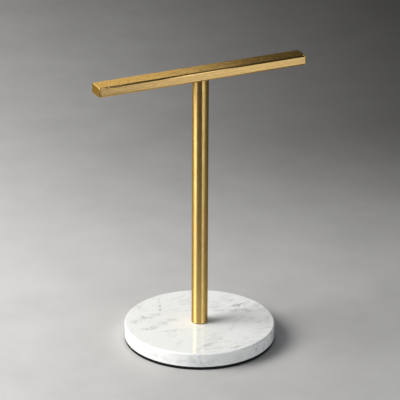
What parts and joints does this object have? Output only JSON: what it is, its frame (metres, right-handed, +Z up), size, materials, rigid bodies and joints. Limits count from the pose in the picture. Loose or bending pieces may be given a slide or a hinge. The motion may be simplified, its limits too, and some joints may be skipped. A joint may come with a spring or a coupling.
{
  "type": "hand towel stand",
  "caption": "Free-standing T-shaped towel stand: a flat rectangular metal bar on a round post, bolted from below to a round marble base with a rubber pad.",
  "frame": {"origin": "centre of the footprint, on the surface that the rubber pad stands on", "axes": "+Z up along the post, +X along the towel bar to its right end, +Y to the back; the stand is the same from the front and the back"},
  "size_m": [0.22, 0.15, 0.2858],
  "materials": {
    "pad_rubber": "matt black cellular rubber",
    "zinc_steel": "bright zinc plate",
    "gasket_fibre": "red vulcanised fibre",
    "white_marble": "polished white marble with soft grey veins",
    "gasket_rubber": "matt black",
    "turned_brass": "as turned, unpolished",
    "post_brass": "satin polished along the tube, lacquered",
    "bar_brass": "brushed along the bar, lacquered"
  },
  "bodies": {
    "root": {"base_pad": "pad_rubber", "base_bolt": "zinc_steel", "lock_washer": "zinc_steel", "flat_washer": "zinc_steel", "recess_gasket": "gasket_fibre", "marble_base": "white_marble", "foot_gasket": "gasket_rubber", "post_foot_bush": "turned_brass", "post_tube": "post_brass", "post_head_bush": "turned_brass", "bar_stud": "zinc_steel", "bar_nut_block": "turned_brass", "bar_tube": "bar_brass", "bar_end_cap_left": "bar_brass", "bar_end_cap_right": "bar_brass"}
  },
  "joints": []
}
